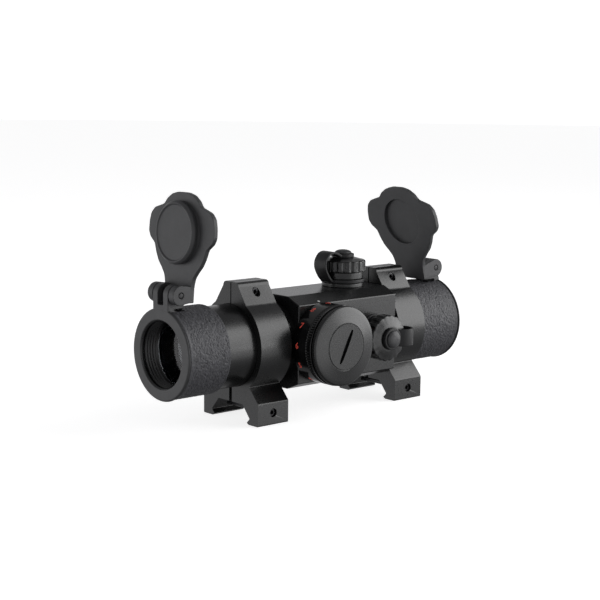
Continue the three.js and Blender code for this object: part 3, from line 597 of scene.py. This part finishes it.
def flip_cap(side, end, inset, lean):
    """Lobed cap with its plug and knuckles, leaned from upright, and its pin and torsion spring."""
    low, high = inset + CAP_UNDERSIDE, inset + CAP_FACE
    half = [(KNUCKLE_SPAN, -2.6, 0.4), (KNUCKLE_SPAN, 3.0, 2.5)]
    half += [(a * TUBE, PIN_HEIGHT + b * TUBE, 0.8) for a, b in CAP_SHAPE]
    outline = half + [(-x, y, r) for x, y, r in reversed(half)]
    plate = crossways(soft(outline, 1, 4), low, high)
    recess = turned(soft([
        (0, high - RECESS_DEPTH), (RECESS, high - RECESS_DEPTH, 0.5),
        (RECESS, high + 0.6), (0, high + 0.6),
    ], 0.01, 3, False), 128)
    plate = without(plate, moved(recess, Matrix.Translation((0, 0, PIN_HEIGHT)) @ ALONG_X))
    plate = bevelled(plate, 0.38, 3)
    plug = turned(soft([
        (0, low - 2.6), (9.6, low - 2.6, 0.3), (9.9, low - 3.1, 0.2), (10.3, low - 3.1, 0.2),
        (PLUG, low - 2.3, 0.3), (PLUG, low - 1.5, 0.1), (PLUG - 0.25, low - 1.2, 0.1),
        (PLUG - 0.25, low - 0.6, 0.1), (PLUG, low + 0.3), (0, low + 0.3),
    ], 0.02, 3, False), 128)
    plug = moved(plug, Matrix.Translation((0, 0, PIN_HEIGHT)) @ ALONG_X)
    shells = [plate, plug]
    inner = LUG_HALF + 0.35
    for lo, hi in ((-KNUCKLE_SPAN, -inner), (inner, KNUCKLE_SPAN)):
        barrel = arc(0, 0, KNUCKLE, math.pi / 2, 3 * math.pi / 2 + 0.55, 30)
        knuckle = slab([(low + 0.3, 3.1)] + barrel + [(low + 0.3, -2.55)], lo, hi)
        hole = moved(disc(PIN + 0.06, lo - 1, hi + 1, 32), ALONG_Y)
        shells.append(bevelled(without(knuckle, hole), 0.3, 3))
    obj = together(*shells)
    hinge = end @ Matrix.Translation((inset, 0, PIN_HEIGHT))
    open_hinge = hinge @ Matrix.Rotation(math.radians(lean), 4, "Y")
    piece(side + "_cap_moulding", obj, side + "_cap", "cap_plastic", side + "_flip_cap", open_hinge)
    rod = [(0, -PIN_REACH), (PIN, -PIN_REACH, 0.3), (PIN, PIN_REACH, 0.3), (0, PIN_REACH)]
    pin = turned(soft(rod, 0.01, 3, False), 32)
    piece(side + "_pin_rod", pin, side + "_cap", "black_steel", side + "_hinge_pin",
          hinge @ ALONG_Y)
    leg, side_step = inset - 0.6, 1.1
    points = [Vector((leg, -side_step, COIL)), Vector((leg * 0.5, -side_step, COIL))]
    for i in range(COIL_TURNS * COIL_STEPS + 1):
        turn = i / COIL_STEPS
        a = math.pi / 2 + 2 * math.pi * turn
        along = 2 * side_step * (turn / COIL_TURNS - 0.5)
        points.append(Vector((COIL * math.cos(a), along, COIL * math.sin(a))))
    points += [Vector((-0.3 * leg, side_step, COIL)), Vector((-0.6 * leg, side_step, COIL))]
    spring = swept(points, COIL_WIRE, 10)
    piece(side + "_torsion_spring", spring, "sight", "black_steel", side + "_cap_spring", hinge)


# ---------------------------------------------------------------- rail rings
def ring_half():
    """Cross-section in (y, z) of the half on the side of positive y."""
    top = math.asin(EAR_SPLIT / RING_BORE)
    bottom = math.asin(FOOT_SPLIT / RING_BORE)
    start = math.acos(EAR_ROOT / RING_OUTER)
    hip = -math.acos(WAIST / RING_OUTER)
    outline = [(EAR_SPLIT, RING_BORE * math.cos(top)), (EAR_SPLIT, EAR_TOP, 0.2)]
    outline += arc(EAR_HALF - EAR_ROUND, EAR_TOP - EAR_ROUND, EAR_ROUND, math.pi / 2, 0, 8)
    outline += [(EAR_ROOT, EAR_ROOT_HEIGHT, 1.0)]
    outline += arc(0, 0, RING_OUTER, start - 0.08, hip + 0.05, 56)
    outline += [
        (WAIST, -13.74, 0.5), (FOOT_HALF, SHOULDER, 0.3), (FOOT_HALF, FOOT_BOTTOM, 0.5),
        (10.4, FOOT_BOTTOM, 0.2), (9.3, -26.9, 0.3), (10.9, -25.3, 0.3), (6.9, ROOF, 0.25),
        (FOOT_SPLIT, ROOF, 0.2), (FOOT_SPLIT, -RING_BORE * math.cos(bottom)),
    ]
    outline += arc(0, 0, RING_BORE, -math.pi / 2 + bottom, math.pi / 2 - top, 72)[1:-1]
    return soft(outline, 0, 3)


# Half of the ear's width at its screw, on the slope between the round top and the root.
EAR_SHOULDER = EAR_TOP - EAR_ROUND
EAR_SPAN = EAR_HALF + (EAR_ROOT - EAR_HALF) * (EAR_SHOULDER - EAR_SCREW_HEIGHT) / (
    EAR_SHOULDER - EAR_ROOT_HEIGHT)


def socket_screw(span):
    face, tip = span - SCREW_SINK, 0.6 - span
    head = turned(soft([
        (0, face - 1.8), (SCREW_HEAD, face - 1.8), (SCREW_HEAD, face, 0.25),
        (SCREW_HEAD - 0.45, face, 0.08), (0, face),
    ], 0.02, 3, False), 48)
    shank = turned(soft([
        (0, tip), (SCREW_SHANK, tip, 0.3), (SCREW_SHANK, face - 1.7), (0, face - 1.7),
    ], 0.02, 3, False), 32)
    head = without(head, prism(polygon(6, HEX_SOCKET), face - 1.1, face + 1))
    return moved(together(head, shank), MINUS_Y)


def rail_ring(side, station):
    width = RING_WIDTH / 2
    place = Matrix.Translation((station, 0, 0))
    for name, node, body, sign in (
        ("_fixed_ring", "_ring_fixed_half", "sight", 1),
        ("_clamp_ring", "_ring_clamp_half", side + "_clamp", -1),
    ):
        half = crossways([(sign * y, z) for y, z in ring_half()], -width, width)
        facing = ALONG_Y if sign > 0 else MINUS_Y
        tools = []
        for height, span in ((EAR_SCREW_HEIGHT, EAR_SPAN), (BOLT_HEIGHT, FOOT_HALF)):
            hole = Matrix.Translation((0, 0, height)) @ facing
            tools.append(moved(disc(SCREW_HOLE, 0, 30, 40), hole))
            if sign < 0:
                seat = Matrix.Translation((0, HEAD_SEAT_DEPTH - span, height)) @ facing
                tools.append(moved(disc(HEAD_SEAT, 0, 30, 48), seat))
            elif height < 0:
                seat = Matrix.Translation((0, FOOT_HALF - NUT_POCKET_DEPTH, height)) @ facing
                tools.append(moved(prism(polygon(6, NUT_POCKET, math.pi / 6), 0, 20), seat))
        half = without(half, *tools)
        half = bevelled(half, 0.3, 3, 40)
        piece(side + name, half, body, "anodised", side + node, place)
    for name, node, span, height in (
        ("_top_screw", "_ear_screw", EAR_SPAN, EAR_SCREW_HEIGHT),
        ("_cross_bolt", "_rail_bolt", FOOT_HALF, BOLT_HEIGHT),
    ):
        screw = socket_screw(span)
        at = place @ Matrix.Translation((0, 0, height))
        piece(side + name, screw, side + "_clamp", "black_steel", side + node, at)
    nut = prism(polygon(6, NUT, math.pi / 6), 0.2 - FOOT_HALF, 2.1 - FOOT_HALF)
    nut = without(nut, disc(SCREW_HOLE, -30, 0, 40))
    nut = bevelled(moved(nut, MINUS_Y), 0.2, 2)
    at = place @ Matrix.Translation((0, 0, BOLT_HEIGHT))
    piece(side + "_bolt_nut", nut, "sight", "steel", side + "_rail_nut", at)


# ---------------------------------------------------------------- turrets
def fluted_cap():
    """Turret cap with shallow finger flutes and a low cone on top."""
    count = FLUTES * 16
    rows = [(CAP_MOUTH, CAP_LOW + 0.02), (TURRET_CAP - 0.3, CAP_LOW)]
    rows += [(TURRET_CAP - 0.1, CAP_LOW + 0.08), (TURRET_CAP, CAP_LOW + 0.3)]
    rows += [(TURRET_CAP, CAP_LOW + 0.75), (TURRET_CAP, 7.5), (TURRET_CAP, CAP_EDGE - 0.95)]
    rows += arc(TURRET_CAP - 0.6, CAP_EDGE - 0.6, 0.6, 0, math.pi / 2, 5)
    rows += [(6.5, 10.42), (4.9, 10.86), (4.6, CAP_TOP), (RIVET_HOLE, CAP_TOP)]
    rows += [(RIVET_HOLE, 8.8), (CAP_MOUTH, 8.8)]
    verts, faces = [], []
    for radius, height in rows:
        outer = radius > 7.6
        fade = 1.0
        if height < CAP_LOW + 0.6:
            fade = 0.35
        if height > CAP_EDGE - 0.7:
            fade = max(0.45, 1 - (height - CAP_EDGE + 0.7) / 1.2)
        for i in range(count):
            a = 2 * math.pi * i / count
            wave = 0.5 - 0.5 * math.cos(FLUTES * a)
            flute = max(0.0, (wave - 0.45) / 0.55) ** 0.6
            r = radius - (0.45 * fade * flute if outer else 0)
            verts.append((r * math.cos(a), r * math.sin(a), height))
    total = len(rows)
    for k in range(total):
        for i in range(count):
            j = (i + 1) % count
            n = (k + 1) % total
            faces.append([k * count + i, k * count + j, n * count + j, n * count + i])
    return mesh_of("cap", verts, faces)


# The strap's route from the disc over the cap's edge to the eye, as (out from the axis, height).
STRAP_LOOP = [
    (3.6, 11.7), (5.6, 12.75), (7.6, 13.15), (9.6, 12.6), (11.0, 11.0), (11.55, 9.6),
    (11.5, 7.6), (10.5, 5.4), (9.25, 3.6), (7.9, 2.3),
]


def strap():
    """Tether: a band that loops from the disc on the cap to the eye round the barrel."""
    path = spline([(x, 0, z) for x, z in STRAP_LOOP], 6)
    section = soft([(-3.2, -0.45), (3.2, -0.45), (3.2, 0.45), (-3.2, 0.45)], 0.22, 3)
    verts, faces = [], []
    for i, point in enumerate(path):
        ahead = (path[min(i + 1, len(path) - 1)] - path[max(i - 1, 0)]).normalized()
        out = Vector((ahead.z, 0, -ahead.x))
        for y, h in section:
            verts.append(point + out * h + Vector((0, y, 0)))
    n = len(section)
    for k in range(len(path) - 1):
        for i in range(n):
            j = (i + 1) % n
            faces.append([k * n + i, k * n + j, (k + 1) * n + j, (k + 1) * n + i])
    last = (len(path) - 1) * n
    faces += [list(range(n))[::-1], list(range(last, last + n))]
    band = mesh_of("band", verts, faces)
    band = without(band, disc(EYE_BORE, 0, 10, 64), disc(3.3, DISC_HIGH - 0.05, 16, 48))
    eye = turned(soft([
        (EYE_BORE, EYE_LOW), (EYE, EYE_LOW), (EYE, EYE_HIGH), (EYE_BORE, EYE_HIGH),
    ], 0.3), 96)
    top = turned(soft([
        (RIVET_HOLE, DISC_LOW), (DISC, DISC_LOW, 0.2), (DISC, DISC_HIGH, 0.35),
        (RIVET_HOLE, DISC_HIGH),
    ], 0.05), 80)
    return together(band, eye, top)


def turret(side, stand, turn):
    """Base, cap, rivet and tether. The tether's loop points along turn."""
    base = turned(soft([
        (2.1, 0.1), (8.0, 0.1, 0.1), (8.0, 1.5, 0.25), (7.0, 1.5, 0.1), (7.0, 3.1, 0.1),
        (7.8, 3.1, 0.25), (7.8, 5.6, 0.2), (6.9, 5.6, 0.1), (6.9, 8.1, 0.3), (4.2, 8.1, 0.2),
        (4.2, 5.2, 0.1), (2.1, 5.2, 0.1),
    ], 0.1), 128)
    piece(side + "_turret_body", base, "sight", "anodised", side + "_turret_base", stand)
    piece(side + "_turret_cover", fluted_cap(), side + "_cap", "anodised",
          side + "_turret_cap", stand, 30)
    dome = turned(soft([
        (0, 8.22), (1.8, 8.22), (1.8, 8.72), (1.3, 8.72), (1.3, 12.5), (3.2, 12.5, 0.1),
        (3.2, 12.9, 0.2), (2.6, 13.42, 0.5), (1.4, 13.76, 0.5), (0, 13.85),
    ], 0.05, 4, False), 64)
    piece(side + "_rivet_dome", dome, side + "_rivet", "cap_plastic", side + "_strap_rivet", stand)
    tether = moved(strap(), Matrix.Rotation(turn, 4, "Z"))
    tether = piece(side + "_tether", tether, None, "strap_rubber", side + "_cap_strap", stand,
                   40, False)
    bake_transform(tether)


# ---------------------------------------------------------------- dial and battery cover
def brightness_dial():
    """Numbered drum with a knurled band beside the battery cover."""
    edge = 0.35
    profile = [(DIAL_BORE, DIAL_LOW)]
    profile += arc(DIAL - edge, DIAL_LOW + edge, edge, -math.pi / 2, 0, 4)
    profile += [(DIAL, z) for z in (7.0, 7.3, 7.5, 9.2, 9.4, DIAL_HEIGHT - 0.15)]
    profile += [(DIAL - 0.15, DIAL_HEIGHT), (DIAL - 0.55, DIAL_HEIGHT)]
    profile += [(DIAL - 0.75, DIAL_HEIGHT - 0.3), (DIAL_LIP + 0.2, DIAL_HEIGHT - 0.3)]
    profile += [(DIAL_LIP, DIAL_HEIGHT - 0.1), (DIAL_LIP, DIAL_LIP_LOW), (DIAL_BORE, DIAL_LIP_LOW)]
    drum = turned(profile, DIAL_KNURLS * 16)
    for vertex in drum.data.vertices:
        x, y, z = vertex.co
        radius = math.hypot(x, y)
        if radius > DIAL - 0.01 and 7.4 < z < 9.3:
            cut = 0.24 * abs(math.sin(DIAL_KNURLS * math.atan2(y, x)))
            vertex.co.x -= cut * x / radius
            vertex.co.y -= cut * y / radius
    piece("dial_drum", drum, "dial", "dial_gloss", "brightness_dial", DIAL_STAND)


def numerals():
    """Generic setting numbers round the drum, to be read from behind the sight."""
    for i in range(NUMERALS):
        curve = bpy.data.curves.new("numeral", "FONT")
        curve.body = str(i)
        curve.size = NUMERAL_SIZE
        curve.align_x = "CENTER"
        curve.align_y = "CENTER"
        curve.offset = 0.05
        text = bpy.data.objects.new("numeral", curve)
        bpy.context.scene.collection.objects.link(text)
        graph = bpy.context.evaluated_depsgraph_get()
        flat = bpy.data.meshes.new_from_object(text.evaluated_get(graph))
        bpy.data.objects.remove(text)
        bm = bmesh.new()
        bm.from_mesh(flat)
        bmesh.ops.remove_doubles(bm, verts=bm.verts, dist=1e-4)
        made = bmesh.ops.extrude_face_region(bm, geom=list(bm.faces))
        raised = [v for v in made["geom"] if isinstance(v, bmesh.types.BMVert)]
        bmesh.ops.translate(bm, verts=raised, vec=(0, 0, NUMERAL_DEPTH))
        middle = math.radians(NUMERAL_MIDDLE - NUMERAL_STEP * (i - NUMERALS // 2))
        for vertex in bm.verts:
            x, y, z = vertex.co
            a = middle - y / DIAL
            r = DIAL + 0.01 + z
            vertex.co = Vector((r * math.cos(a), r * math.sin(a), NUMERAL_HEIGHT + x))
        mesh = bpy.data.meshes.new("numeral")
        bm.to_mesh(mesh)
        bm.free()
        obj = bpy.data.objects.new("numeral", mesh)
        bpy.context.scene.collection.objects.link(obj)
        piece("dial_numeral_%02d" % i, obj, "dial", None, place=DIAL_STAND, look=red_paint,
              weighted=False)


def battery_cover():
    """Coin-slotted cover: knurled rim, shallow cone and a flat middle."""
    low, rim, face = COVER_LOW, COVER_RIM, COVER_FACE
    count = COVER_TEETH * 12
    rows = [(COVER_SEAT, low), (13.4, low), (14.1, low + 0.02), (14.36, low + 0.25)]
    rows += [(COVER, low + rise) for rise in (0.42, 0.62, 1.3, 1.5)]
    rows += [(14.38, rim - 0.28), (14.1, rim - 0.06), (13.75, rim + 0.04)]
    rows += [(12.5, rim + 0.26), (11.2, rim + 0.49), (9.9, rim + 0.71), (8.8, rim + 0.9)]
    rows += [(8.65, rim + 0.78), (8.45, rim + 0.78), (8.38, face - 0.08), (8.3, face), (4, face)]
    verts, faces = [], []
    for radius, height in rows:
        toothed = low + 0.4 < height < low + 1.52 and radius > 14.4
        for i in range(count):
            a = 2 * math.pi * i / count
            r = radius - (0.13 * abs(math.sin(COVER_TEETH * a)) if toothed else 0)
            verts.append((r * math.cos(a), r * math.sin(a), height))
    for k in range(len(rows) - 1):
        for i in range(count):
            j = (i + 1) % count
            faces.append([k * count + i, k * count + j, (k + 1) * count + j, (k + 1) * count + i])
    verts += [(0, 0, face), (0, 0, low - 0.9)]
    middle, under = len(verts) - 2, len(verts) - 1
    first = len(verts)
    verts += [(x, y, low - 0.9) for x, y in polygon(count, COVER_SEAT)]
    top = (len(rows) - 1) * count
    for i in range(count):
        j = (i + 1) % count
        faces.append([top + i, top + j, middle])
        faces.append([i, j, first + j, first + i])
        faces.append([first + i, first + j, under])
    cover = mesh_of("cover", verts, faces)
    slot = [(-6.6, -0.35), (-5.2, -0.65), (-2.6, -0.8), (0, -0.84)]
    slot += [(-x, y) for x, y in reversed(slot[:-1])]
    slot += [(x, -y) for x, y in reversed(slot)]
    cutter = prism(slot, face - COIN_SLOT_DEPTH, face + 1)
    cutter = moved(cutter, Matrix.Rotation(math.radians(COIN_SLOT_DEGREES), 4, "Z"))
    cover = without(cover, cutter)
    piece("battery_cover_disc", cover, "battery_cover", "anodised", "battery_cap", DIAL_STAND, 34)
    seal = turned(soft([
        (SEAL_INNER, 9.95), (SEAL_OUTER, 9.95), (SEAL_OUTER, 10.65), (SEAL_INNER, 10.65),
    ], 0.3), 128)
    piece("battery_cover_seal_ring", seal, "battery_seal", "strap_rubber", "battery_cap_seal",
          DIAL_STAND)


# ---------------------------------------------------------------- camera, light and floor
def camera():
    azimuth, elevation, roll = (math.radians(a) for a in (AZIMUTH, ELEVATION, ROLL))
    right = Vector((math.cos(azimuth), math.sin(azimuth), 0))
    back = Vector((math.sin(azimuth) * math.cos(elevation),
                   -math.cos(azimuth) * math.cos(elevation), math.sin(elevation)))
    up = back.cross(right)
    across = right * math.cos(roll) - up * math.sin(roll)
    upward = right * math.sin(roll) + up * math.cos(roll)
    data = bpy.data.cameras.new("camera")
    data.lens, data.sensor_width = LENS_MM, SENSOR_MM
    data.clip_start, data.clip_end = 0.02, 50
    obj = bpy.data.objects.new("camera", data)
    bpy.context.scene.collection.objects.link(obj)
    matrix = Matrix((across, upward, back)).transposed().to_4x4()
    matrix.translation = TARGET + back * CAMERA_DISTANCE
    obj.matrix_world = matrix
    bpy.context.scene.camera = obj


def softbox(name, place, size, watts):
    data = bpy.data.lights.new(name, "AREA")
    data.shape = "RECTANGLE"
    data.size, data.size_y = size
    data.energy = watts
    obj = bpy.data.objects.new(name, data)
    bpy.context.scene.collection.objects.link(obj)
    obj.location = place
    aim = LIGHT_AIM - Vector(place)
    obj.rotation_mode = "QUATERNION"
    obj.rotation_quaternion = aim.to_track_quat("-Z", "Y")


def sky():
    """Soft surroundings: bright at the horizon, dim overhead and towards the camera, dark below."""
    world = bpy.data.worlds.new("studio")
    world.use_nodes = True
    nodes, links = world.node_tree.nodes, world.node_tree.links
    direction = nodes.new("ShaderNodeTexCoord").outputs["Generated"]
    parts = nodes.new("ShaderNodeSeparateXYZ")
    links.new(direction, parts.inputs[0])
    height = nodes.new("ShaderNodeValToRGB")
    stops = (
        (0.0, 0.1), (0.2, 0.26), (0.37, 0.82), (0.5, 0.85), (0.6, 0.75), (0.76, 0.28), (1.0, 0.2),
    )
    while len(height.color_ramp.elements) < len(stops):
        height.color_ramp.elements.new(0.5)
    for element, (position, value) in zip(height.color_ramp.elements, stops):
        element.position = position
        element.color = (value, value, value * 1.02, 1)
    level = nodes.new("ShaderNodeMapRange")
    level.inputs["From Min"].default_value = -1
    links.new(parts.outputs["Z"], level.inputs["Value"])
    links.new(level.outputs["Result"], height.inputs["Fac"])
    side = nodes.new("ShaderNodeMapRange")
    side.inputs["From Min"].default_value = -0.9
    side.inputs["From Max"].default_value = 0.4
    side.inputs["To Min"].default_value = 0.75
    links.new(parts.outputs["Y"], side.inputs["Value"])
    links.new(height.outputs["Color"], nodes["Background"].inputs["Color"])
    links.new(side.outputs["Result"], nodes["Background"].inputs["Strength"])
    bpy.context.scene.world = world
    bpy.context.scene.view_settings.view_transform = "Standard"


def backdrop(name, obj, glow):
    """Floor or wall, seen by the camera but kept out of the black finish's reflections."""
    obj.name = name
    pale = Look(name, (0.6, 0.6, 0.6), 0.9, Specular_IOR_Level=0.1)
    pale.tint(pale.pattern(60, 2), 0.99, 1.0)
    pale.shader.inputs["Emission Color"].default_value = (1, 1, 1, 1)
    pale.shader.inputs["Emission Strength"].default_value = glow
    obj.data.materials.append(pale.material)
    obj.visible_glossy = False
    obj.visible_diffuse = False


def studio():
    sky()
    softbox("key", (0.66, -0.42, 0.3), (0.72, 0.75), 5.6)
    softbox("left", (-0.72, 0.16, 0.1), (0.7, 0.5), 1.3)
    softbox("front", (0.36, -0.82, -0.12), (0.5, 0.4), 0.75)
    base = (FOOT_BOTTOM + AXIS_HEIGHT - 0.02) / 1000
    corners = ((-1, -1), (1, -1), (1, 1), (-1, 1))
    verts = [(FLOOR_HALF * x, FLOOR_HALF * y, base) for x, y in corners]
    backdrop("floor", mesh_of("floor", verts, [[0, 1, 2, 3]]), 0.8)
    wall = turned([(3.9, -0.1), (3.9, 4.0), (2.5, 5.5), (0, 6.0)], 64, False)
    backdrop("wall", wall, 1.0)


camera()
studio()
main_tube()
index_dot()
for side, end, inset, lean, length in (
    ("rear", REAR_END, 3.5, 4, 18.7), ("front", FRONT_END, 5.4, 15, 21.15),
):
    bezel(side, end, inset)
    sleeve(side, end, length, inset)
    flip_cap(side, end, inset, lean)
rail_ring("rear", REAR_RING)
rail_ring("front", FRONT_RING)
turret("elevation", ELEVATION_STAND, math.pi)
turret("windage", WINDAGE_STAND, 0)
brightness_dial()
numerals()
battery_cover()

# CAD nodes that stay visible take the look of their material slot, or matt black inside the tube.
INSIDE = (
    "inner_tube", "reflector_retainer", "emitter_bracket", "inner_tube_pivot",
    "rear_window_retainer", "front_window_retainer",
)
for part in frame["record"]["subparts"]:
    node = frame["nodes"][part["node"]]
    look = SLOTS[part["material_slot"]].material
    if part["node"] in INSIDE:
        look = matte_bore.material
    if not node.hide_render:
        if node.material_slots:
            for holder in node.material_slots:
                holder.material = look
        else:
            node.data.materials.append(look)
